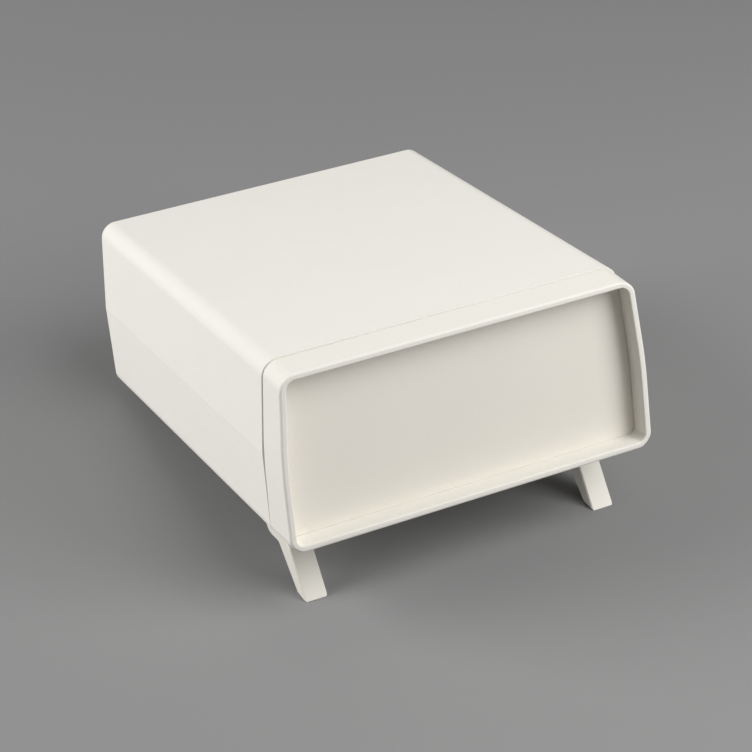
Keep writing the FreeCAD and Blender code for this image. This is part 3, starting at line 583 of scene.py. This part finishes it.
# Assemblies of the housing
@dataclass(frozen=True)
class HoodDraft:
    """The small draft of the hood and the fit of its panel, in mm of the case.

    Over the hood, from the seam towards its front edge, the roof comes down, the side walls
    come in and the upper half reaches further forward. Inner faces come in a little more
    than outer ones. All of it changes evenly over the hood, so the faces stay smooth.

    Attributes:
        seam_y: Y of the hood's rear edge.
        seam_play: how far behind seam_y a corner still belongs to the hood.
        full_y: Y from which the forward reach is whole.
        top_depth: length of the hood along its roof.
        bottom_depth: length of the hood along its floor.
        roof_z: height of the roof over the parting line.
        floor_z: height of the floor, below it.
        side_x: half width at the parting line.
        side_taper: how far the side has come in at the roof.
        rim: thickness of the rim.
        roof_step: how much lower the hood's roof lies than the shell's at the seam.
        side_step: how much further in its sides lie.
        round_share: share of the height at which the floor's round ends.
        kink_share: share of the height at which the side kinks.
        seam_close: how far the hood's rear edge closes up at the skin of the sides.
        roof_drop: how much lower the roof is at the front edge.
        top_reach: how much further forward the upper front edge is.
        lip_growth: how much thicker the rim is inside, at the front edge.
        lip_power: power of the share of the way out, which keeps that growth to the rim.
        panel_growth: how far the panel's edges move out to its opening.
    """

    seam_y: float = -0.2
    seam_play: float = 0.05
    full_y: float = -4.0
    top_depth: float = 16.9
    bottom_depth: float = 23.7
    roof_z: float = 46.4
    floor_z: float = -45.1
    side_x: float = 100.0
    side_taper: float = 4.3
    rim: float = 3.1
    roof_step: float = 0.45
    side_step: float = 0.58
    round_share: float = 0.08
    kink_share: float = 0.49
    seam_close: float = 0.33
    roof_drop: float = 1.1
    top_reach: float = 1.6
    lip_growth: float = 0.5
    lip_power: int = 4
    panel_growth: float = 0.3

    def hood(self, points: np.ndarray) -> np.ndarray:
        """Gives corners of the hood, or of what it holds, their place.

        The share of the way from seam to front edge is s, the share of the height h. The
        sides come in by their step, times the share of the way out from the middle plane.
        That step is whole from the kink up and runs out at the floor's round. The roof comes
        down by its step plus its drop times s, times the share of the way up. Corners go
        forward by the reach times h, in full from full_y on. At sides and floor the lip's
        growth times s is added, from nothing at the skin to the whole at the rim's inner
        face. At the skin of the sides, the rear edge closes up to the shells.

        Args:
            points: corners in mm of the case.

        Returns:
            The same corners in their place.
        """
        x, y, z = points.T
        height = np.clip((z - self.floor_z) / (self.roof_z - self.floor_z), 0.0, 1.0)
        depth = self.bottom_depth + (self.top_depth - self.bottom_depth) * height
        share = np.clip((self.seam_y - y) / (depth + self.seam_y), 0.0, 1.0)
        lead = np.clip((self.seam_y - y) / (self.seam_y - self.full_y), 0.0, 1.0)
        ahead = np.where(y < self.seam_y + self.seam_play, 1.0, 0.0)
        up, down = np.clip(z / self.roof_z, 0.0, 1.0), np.clip(z / self.floor_z, 0.0, 1.0)
        skin_x = self.side_x - self.side_taper * up
        across = np.clip(np.abs(x) / skin_x, 0.0, 1.0)
        lip = self.lip_growth * share
        within_side = np.clip((skin_x - np.abs(x)) / self.rim, 0.0, 1.0)
        within_floor = np.clip((z - self.floor_z) / self.rim, 0.0, 1.0)
        above = (height - self.round_share) / (self.kink_share - self.round_share)
        step = self.side_step * np.clip(above, 0.0, 1.0)
        side = ahead * across * (step + lip * within_side * across**self.lip_power)
        closed = self.seam_close * ahead * (1 - lead) * (1 - within_side)
        top = up * (self.roof_step + self.roof_drop * share)
        bottom = lip * within_floor * down**self.lip_power
        return np.stack([
            x - np.sign(x) * side,
            y + closed - self.top_reach * height * lead,
            z - ahead * (top - bottom),
        ], 1)

    def panel(self, points: np.ndarray) -> np.ndarray:
        """Lets the panel fill its opening, then follows the hood.

        Every corner moves away from the middle of the opening, by panel_growth at its edge.

        Args:
            points: corners in mm of the case.

        Returns:
            The same corners in their place.
        """
        half = (self.roof_z - self.floor_z) / 2
        middle = (self.roof_z + self.floor_z) / 2
        grown = points.copy()
        grown[:, 0] *= 1 + self.panel_growth / self.side_x
        grown[:, 2] += (points[:, 2] - middle) / half * self.panel_growth
        return self.hood(grown)


@dataclass(frozen=True)
class PartingLine:
    """The tight joint of the two shells: its groove is all but closed at the skin.

    Attributes:
        skin_x: half width at the parting line.
        groove: depth of the groove.
        seam_height: distance from the parting line within which a corner is in the groove.
        left_open: depth that stays open.
    """

    skin_x: float = 100.0
    groove: float = 0.6
    seam_height: float = 0.06
    left_open: float = 0.05

    def close(self, points: np.ndarray) -> np.ndarray:
        """Moves the bottom corners of the groove out to just under the skin.

        Args:
            points: corners in mm of the case.

        Returns:
            The same corners in their place.
        """
        x, y, z = points.T
        deep = self.skin_x - np.abs(x)
        inside = (np.abs(z) < self.seam_height) & (deep < self.groove) & (deep > self.left_open)
        closed = points.copy()
        closed[:, 0] = np.where(inside, np.sign(x) * (self.skin_x - self.left_open), x)
        return closed


@dataclass
class Shells:
    """Top and bottom shell, the bezel and both plates.

    Attributes:
        shell_edge: radius of the shells' edges, small because they meet in tight seams.
        bezel_edge: radius of the bezel's edges.
        bezel_angle: angle in degrees from which an edge of the bezel is sharp.
        plate_edge: radius of the plates' edges.
        draft: draft of the hood.
        joint: joint of the shells.
    """

    shell_edge: float = 0.06
    bezel_edge: float = 0.3
    bezel_angle: float = 48.0
    plate_edge: float = 0.2
    draft: HoodDraft = HoodDraft()
    joint: PartingLine = PartingLine()

    def build(self, case: CaseFrame) -> list[bpy.types.Object]:
        """Builds the five large mouldings.

        Args:
            case: frame of the case.

        Returns:
            The five objects.
        """
        tight, hood, panel = self.joint.close, self.draft.hood, self.draft.panel
        parts = (
            Moulding("top_shell", "shell", SHELL_ABS, self.shell_edge, form=tight),
            Moulding("bottom_shell", "shell", SHELL_ABS, self.shell_edge, form=tight),
            Moulding(
                "front_bezel", "bezel", BEZEL_ABS, self.bezel_edge, self.bezel_angle, form=hood),
            Moulding("front_panel", "panel", PANEL_ABS, self.plate_edge, form=panel),
            Moulding("rear_panel", "panel", PANEL_ABS, self.plate_edge),
        )
        return [part.build(case) for part in parts]


@dataclass
class TiltLegs:
    """The two swing-out legs with their brackets and steel pins.

    Attributes:
        centre_x: distance of a leg's middle from the middle of the case.
        pivot_y: Y of the pivots.
        pivot_z: Z of the pivots.
        leg_edge: radius of the legs' edges.
        bracket_edge: radius of the brackets' edges.
        pin_radius: radius of a pin.
        pin_length: length of a pin.
        pin_chamfer: bevel of the pin's ends.
        pin_around: steps around a pin.
    """

    centre_x: float = 81.35
    pivot_y: float = 30.4
    pivot_z: float = -54.8
    leg_edge: float = 0.3
    bracket_edge: float = 0.15
    pin_radius: float = 2.0
    pin_length: float = 12.0
    pin_chamfer: float = 0.3
    pin_around: int = 64

    def pivot(self, side: Side) -> Point:
        """Middle of a leg's pin in the frame of the case."""
        return (side.value * self.centre_x, self.pivot_y, self.pivot_z)

    def pin_profile(self) -> np.ndarray:
        """Meridian of a pin, from one end over its barrel to the other.

        Returns:
            Points (radius, height) about the pin's middle, in mm.
        """
        half, bevel = self.pin_length / 2, self.pin_chamfer
        soft = bevel / 3
        return softened([
            (0, -half, 0),
            (self.pin_radius - bevel, -half, soft),
            (self.pin_radius, bevel - half, soft),
            (self.pin_radius, half - bevel, soft),
            (self.pin_radius - bevel, half, soft),
            (0, half, 0),
        ])

    def build(self, case: CaseFrame) -> list[bpy.types.Object]:
        """Builds legs, brackets and pins of both sides.

        Args:
            case: frame of the case.

        Returns:
            Leg, bracket and pin of the left side, then of the right.
        """
        made = []
        for side in Side:
            label = side.name.lower()
            leg = Moulding(f"tilt_leg_{label}", "leg", LEG_ABS, self.leg_edge)
            bracket = Moulding(f"foot_bracket_{label}", "leg", LEG_ABS, self.bracket_edge)
            pin = Turned(
                f"leg_pin_{label}_drawn", (f"leg_pin_{label}",), "steel", ZINC_STEEL,
                self.pin_profile(), [self.pivot(side)], axis=(1.0, 0.0, 0.0),
                around=self.pin_around,
            )
            made += [part.build(case) for part in (leg, bracket, pin)]
        return made


@dataclass
class RearFeet:
    """Push-in rubber feet with a ring groove in the sole and a barb above the floor.

    Attributes:
        centre_x: distance of a foot from the middle of the case.
        centre_y: Y of the feet.
        under_z: height of the sole.
        seat_z: height at which the foot meets the floor from below.
        inside_z: height of the floor's inner face, where the barb grips.
        top_z: height of the barb's tip.
        sole_radius: radius of the sole.
        rim_radius: radius at the seat.
        stem_radius: radius of the stem in the floor's hole.
        barb_radius: radius of the barb.
        tip_radius: radius of the barb's tip.
        groove_radius: mean radius of the sole's ring groove.
        groove_half: half its width.
        groove_depth: its depth.
        groove_flank: width of each of its slanting sides.
        groove_round: round of the groove's bottom corners.
        lip_round: round of the groove's lips, the seat's inner corner and the barb.
        sole_round: round of the sole's outer edge.
        rim_round: round of the rim.
        stem_round: round under the barb.
        tip_round: round of the tip.
        arc_steps: spans of each round.
        around: steps around a foot.
    """

    centre_x: float = 81.35
    centre_y: float = 189.0
    under_z: float = -52.3
    seat_z: float = -44.3
    inside_z: float = -42.2
    top_z: float = -39.2
    sole_radius: float = 7.5
    rim_radius: float = 9.0
    stem_radius: float = 2.5
    barb_radius: float = 3.3
    tip_radius: float = 1.6
    groove_radius: float = 5.2
    groove_half: float = 0.8
    groove_depth: float = 0.7
    groove_flank: float = 0.3
    groove_round: float = 0.25
    lip_round: float = 0.2
    sole_round: float = 0.7
    rim_round: float = 0.3
    stem_round: float = 0.15
    tip_round: float = 0.4
    arc_steps: int = 5
    around: int = 96

    def profile(self) -> np.ndarray:
        """Meridian of a foot, from the middle of its sole up to the barb's tip.

        Returns:
            Points (radius, height) in mm, with heights of the case.
        """
        near, far = self.groove_radius - self.groove_half, self.groove_radius + self.groove_half
        bottom = self.under_z + self.groove_depth
        return softened([
            (0, self.under_z, 0),
            (near, self.under_z, self.lip_round),
            (near + self.groove_flank, bottom, self.groove_round),
            (far - self.groove_flank, bottom, self.groove_round),
            (far, self.under_z, self.lip_round),
            (self.sole_radius, self.under_z, self.sole_round),
            (self.rim_radius, self.seat_z, self.rim_round),
            (self.stem_radius, self.seat_z, self.lip_round),
            (self.stem_radius, self.inside_z, self.stem_round),
            (self.barb_radius, self.inside_z, self.lip_round),
            (self.tip_radius, self.top_z, self.tip_round),
            (0, self.top_z, 0),
        ], self.arc_steps)

    def build(self, case: CaseFrame) -> list[bpy.types.Object]:
        """Builds both feet.

        Args:
            case: frame of the case.

        Returns:
            The left foot and the right one.
        """
        made = []
        for side in Side:
            node = f"rear_foot_{side.name.lower()}"
            seat = (side.value * self.centre_x, self.centre_y, 0.0)
            foot = Turned(
                f"{node}_rubber", (node,), "rubber", FOOT_RUBBER, self.profile(), [seat],
                around=self.around)
            made.append(foot.build(case))
        return made


@dataclass(frozen=True)
class Screw:
    """Screw with a rounded head, a six-lobed socket and a helical thread, in mm.

    Heights are measured from the underside of the head, towards the tip.

    Attributes:
        head_radius: radius of the head.
        head_height: height of the head.
        shank_radius: radius over the thread.
        shank_length: length under the head.
        pitch: rise of the thread in one turn.
        thread_depth: depth of the thread.
        socket_radius: mean radius of the socket.
        socket_depth: depth of the socket.
        socket_reach: share of socket_radius up to which a point belongs to the socket.
        socket_foot: round at the floor of the socket.
        head_round: round of the head's outer edge.
        crisp_round: round of the head's other edges.
        tip_share: share of shank_radius that the tip is bevelled by.
        rows_per_turn: rows of points in each turn of the thread.
        around: steps around a screw.
    """

    head_radius: float
    head_height: float
    shank_radius: float
    shank_length: float
    pitch: float
    thread_depth: float
    socket_radius: float = 1.25
    socket_depth: float = 0.9
    socket_reach: float = 1.05
    socket_foot: float = 0.1
    head_round: float = 0.55
    crisp_round: float = 0.12
    tip_share: float = 0.3
    rows_per_turn: int = 6
    around: int = 48

    def head(self) -> np.ndarray:
        """Meridian of the head, from the floor of its socket round to the shank.

        Returns:
            Points (radius, height) in mm.
        """
        top, floor = -self.head_height, self.socket_depth - self.head_height
        return softened([
            (0, floor, 0),
            (self.socket_radius, floor, self.socket_foot),
            (self.socket_radius, top, self.crisp_round),
            (self.head_radius, top, self.head_round),
            (self.head_radius, 0, self.crisp_round),
            (self.shank_radius, 0, 0),
        ])

    def shank(self) -> np.ndarray:
        """Meridian of the shank, in rows close enough to carry the thread.

        Returns:
            Points (radius, height) in mm, which go on from those of the head.
        """
        bevel = self.tip_share * self.shank_radius
        rows = int(self.shank_length / self.pitch * self.rows_per_turn)
        heights = np.linspace(0, self.shank_length - bevel, rows)[1:]
        barrel = np.stack([np.full_like(heights, self.shank_radius), heights], 1)
        tip = [(self.shank_radius - bevel, self.shank_length), (0, self.shank_length)]
        return np.concatenate([barrel, tip])

    def turned(
        self, name: str, node: str, seats: Sequence[Point], axis: Point = (0.0, 0.0, 1.0)
    ) -> Turned:
        """The group of screws that one node holds.

        The thread fades in over its first turn under the head and out over its last.

        Args:
            name: name of the piece.
            node: CAD node that it stands for.
            seats: middle of each head's underside in the frame of the case, in mm.
            axis: direction from head to tip in the frame of the case.

        Returns:
            The screws, ready to build.
        """
        profile = np.concatenate([self.head(), self.shank()])
        radius, height = profile.T
        socket = (radius < self.socket_reach * self.socket_radius) & (height < 0)
        fade = np.minimum(height, self.shank_length - height) / self.pitch
        return Turned(
            name, (node,), "steel", ZINC_STEEL, profile, seats, axis,
            lobed=socket.astype(float), threaded=np.clip(fade, 0.0, 1.0),
            pitch=self.pitch, thread_depth=self.thread_depth, around=self.around,
        )


# M3 machine screw of the case
CASE_SCREW = Screw(
    head_radius=2.75, head_height=2.4, shank_radius=1.5, shank_length=14.3,
    pitch=0.5, thread_depth=0.16, socket_depth=1.2,
)
# Thread-forming screw for plastics, 2.8 mm, of the foot brackets
BRACKET_SCREW = Screw(
    head_radius=2.8, head_height=1.4, shank_radius=1.4, shank_length=9.0,
    pitch=1.1, thread_depth=0.3,
)
# Thread-forming screw for plastics, 2.5 mm, with a washer head, of the front panel
PANEL_SCREW = Screw(
    head_radius=3.7, head_height=1.5, shank_radius=1.25, shank_length=3.3,
    pitch=1.0, thread_depth=0.25,
)


@dataclass
class Fasteners:
    """Screws, thread inserts and the pillars that carry a board.

    Attributes:
        column_x: distance of the screw columns from the middle of the case.
        column_rows: Y of the front and rear columns.
        column_seat: Z of the underside of the case screws' heads.
        bracket_x: distance of the bracket screws from the middle.
        bracket_y: Y of the bracket screws.
        bracket_seat: Z of the underside of their heads.
        panel_seats: underside of the panel screws' heads, on the right side.
        panel_axis: direction of the panel screws, along the lean of the panel.
        small_edge: radius of the edges of inserts and pillars.
        draft: draft of the hood, which the panel screws follow.
    """

    column_x: float = 84.0
    column_rows: tuple[float, float] = (70.0, 174.0)
    column_seat: float = -8.0
    bracket_x: float = 81.35
    bracket_y: float = 51.5
    bracket_seat: float = -44.4
    panel_seats: tuple[Point, Point] = ((86.5, -1.84, 37.2), (90.6, -7.272, -35.9))
    panel_axis: Point = (0.0, -0.9973, 0.0741)
    small_edge: float = 0.1
    draft: HoodDraft = HoodDraft()

    def build(self, case: CaseFrame) -> list[bpy.types.Object]:
        """Builds the screws and gives inserts and pillars their finish.

        Args:
            case: frame of the case.

        Returns:
            The three groups of screws, the inserts and the pillars.
        """
        signs = [side.value for side in Side]
        columns = [(s * self.column_x, y, self.column_seat) for s in signs for y in self.column_rows]
        brackets = [(s * self.bracket_x, self.bracket_y, self.bracket_seat) for s in signs]
        behind = np.array([(s * x, y, z) for s in signs for x, y, z in self.panel_seats])
        panel = self.draft.hood(behind).tolist()
        parts = (
            CASE_SCREW.turned("case_screws_turned", "case_screws", columns),
            BRACKET_SCREW.turned("bracket_screws_turned", "bracket_screws", brackets),
            PANEL_SCREW.turned("panel_screws_turned", "panel_screws", panel, self.panel_axis),
            Moulding("boss_inserts", "brass", TURNED_BRASS, self.small_edge),
            Moulding("board_supports", "leg", LEG_ABS, self.small_edge),
        )
        return [part.build(case) for part in parts]


# Studio
@dataclass(frozen=True)
class SoftBox:
    """A soft square lamp that looks at the middle of the object.

    Attributes:
        name: name of the lamp.
        bearing: degrees from the right of the case, counter-clockwise seen from above.
        elevation: degrees above the floor.
        distance: metres from the middle of the object.
        side: side length in metres.
        power: radiant power in watts.
    """

    name: str
    bearing: float
    elevation: float
    distance: float
    side: float
    power: float

    def build(self, target: Vector) -> bpy.types.Object:
        """Puts the lamp in place.

        Args:
            target: point that the lamp faces.

        Returns:
            The lamp.
        """
        lamp = bpy.data.lights.new(self.name, "AREA")
        lamp.shape = "SQUARE"
        lamp.size = self.side
        lamp.energy = self.power
        holder = bpy.data.objects.new(self.name, lamp)
        bpy.context.scene.collection.objects.link(holder)
        turn, rise = math.radians(self.bearing), math.radians(self.elevation)
        away = Vector((
            math.cos(rise) * math.cos(turn), math.cos(rise) * math.sin(turn), math.sin(rise)))
        holder.location = target + away * self.distance
        holder.rotation_euler = (-away).to_track_quat("-Z", "Y").to_euler()
        return holder


@dataclass
class Studio:
    """Plain floor, soft lamps and the camera.

    Attributes:
        eye: camera in the frame of the case, in mm.
        right: the picture's right in the frame of the case.
        ahead: viewing direction in the frame of the case.
        lens: focal length in mm.
        sensor: width of the sensor in mm.
        clip: nearest and furthest distance that the camera sees, in metres.
        middle: point that the lamps face, in metres of the row frame.
        floor_size: side length of the floor in metres.
        ambient: strength of the even light of the room.
        lamps: the soft boxes.
    """

    eye: Point = (-467.07, -941.21, 511.82)
    right: Point = (0.89176, -0.44606, -0.07619)
    ahead: Point = (0.37497, 0.82264, -0.42738)
    lens: float = 115.08
    sensor: float = 36.0
    clip: tuple[float, float] = (0.05, 20.0)
    middle: Point = (0.0, 0.0, 0.07)
    floor_size: float = 6.0
    ambient: float = 0.16
    lamps: tuple[SoftBox, ...] = (
        SoftBox("left_low", 165.0, 12.0, 2.2, 1.0, 18.0),
        SoftBox("left_back", 150.0, 32.0, 2.2, 1.0, 24.5),
        SoftBox("front_right", 312.0, 32.0, 1.3, 0.8, 11.6),
        SoftBox("front_top", 300.0, 63.0, 2.2, 1.0, 14.5),
    )

    def floor(self) -> bpy.types.Object:
        """Lays a plain sheet of grey paper under the object.

        Returns:
            The sheet.
        """
        half = self.floor_size / 2
        corners = np.array([(-half, -half, 0), (half, -half, 0), (half, half, 0), (-half, half, 0)])
        sheet = new_object("studio_floor", corners, [(0, 1, 2, 3)], FLOOR_PAPER)
        return sheet

    def world(self) -> None:
        """Fills the room with even white light."""
        world = bpy.data.worlds.new("studio_world")
        bpy.context.scene.world = world
        world.use_nodes = True
        tree = world.node_tree
        tree.nodes.clear()
        light = {"Color": linear("#FFFFFF"), "Strength": self.ambient}
        glow = add_node(tree, "ShaderNodeBackground", light)
        add_node(tree, "ShaderNodeOutputWorld", {"Surface": glow.outputs["Background"]})

    def camera(self, case: CaseFrame) -> bpy.types.Object:
        """Sets up the camera at the photograph's angle.

        Args:
            case: frame of the case.

        Returns:
            The camera.
        """
        view = bpy.data.cameras.new("camera")
        view.sensor_width, view.lens = self.sensor, self.lens
        view.clip_start, view.clip_end = self.clip
        ahead, right = case.along(self.ahead), case.along(self.right)
        right -= ahead * (right @ ahead)
        right /= np.linalg.norm(right)
        placed = np.eye(4)
        placed[:3, :3] = np.stack([right, np.cross(right, ahead), -ahead], 1)
        placed[:3, 3] = case.points(np.array(self.eye))
        holder = bpy.data.objects.new("camera", view)
        bpy.context.scene.collection.objects.link(holder)
        holder.matrix_world = Matrix(placed.tolist())
        bpy.context.scene.camera = holder
        return holder

    def build(self, case: CaseFrame) -> None:
        """Builds the whole studio.

        Args:
            case: frame of the case.
        """
        self.floor()
        self.world()
        self.camera(case)
        for lamp in self.lamps:
            lamp.build(Vector(self.middle))


def main() -> None:
    """Builds the housing and its studio."""
    logging.basicConfig(level=logging.INFO, format="%(name)s: %(message)s")
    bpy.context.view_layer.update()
    legs = TiltLegs()
    case = CaseFrame.of(frame["record"], legs.pivot(Side.LEFT))
    for assembly in (Shells(), legs, RearFeet(), Fasteners()):
        for piece in assembly.build(case):
            log.info("%s: %d faces", piece.name, len(piece.data.polygons))
    Studio().build(case)
    bpy.context.scene.view_settings.view_transform = "Standard"


if __name__ == "__main__":
    main()
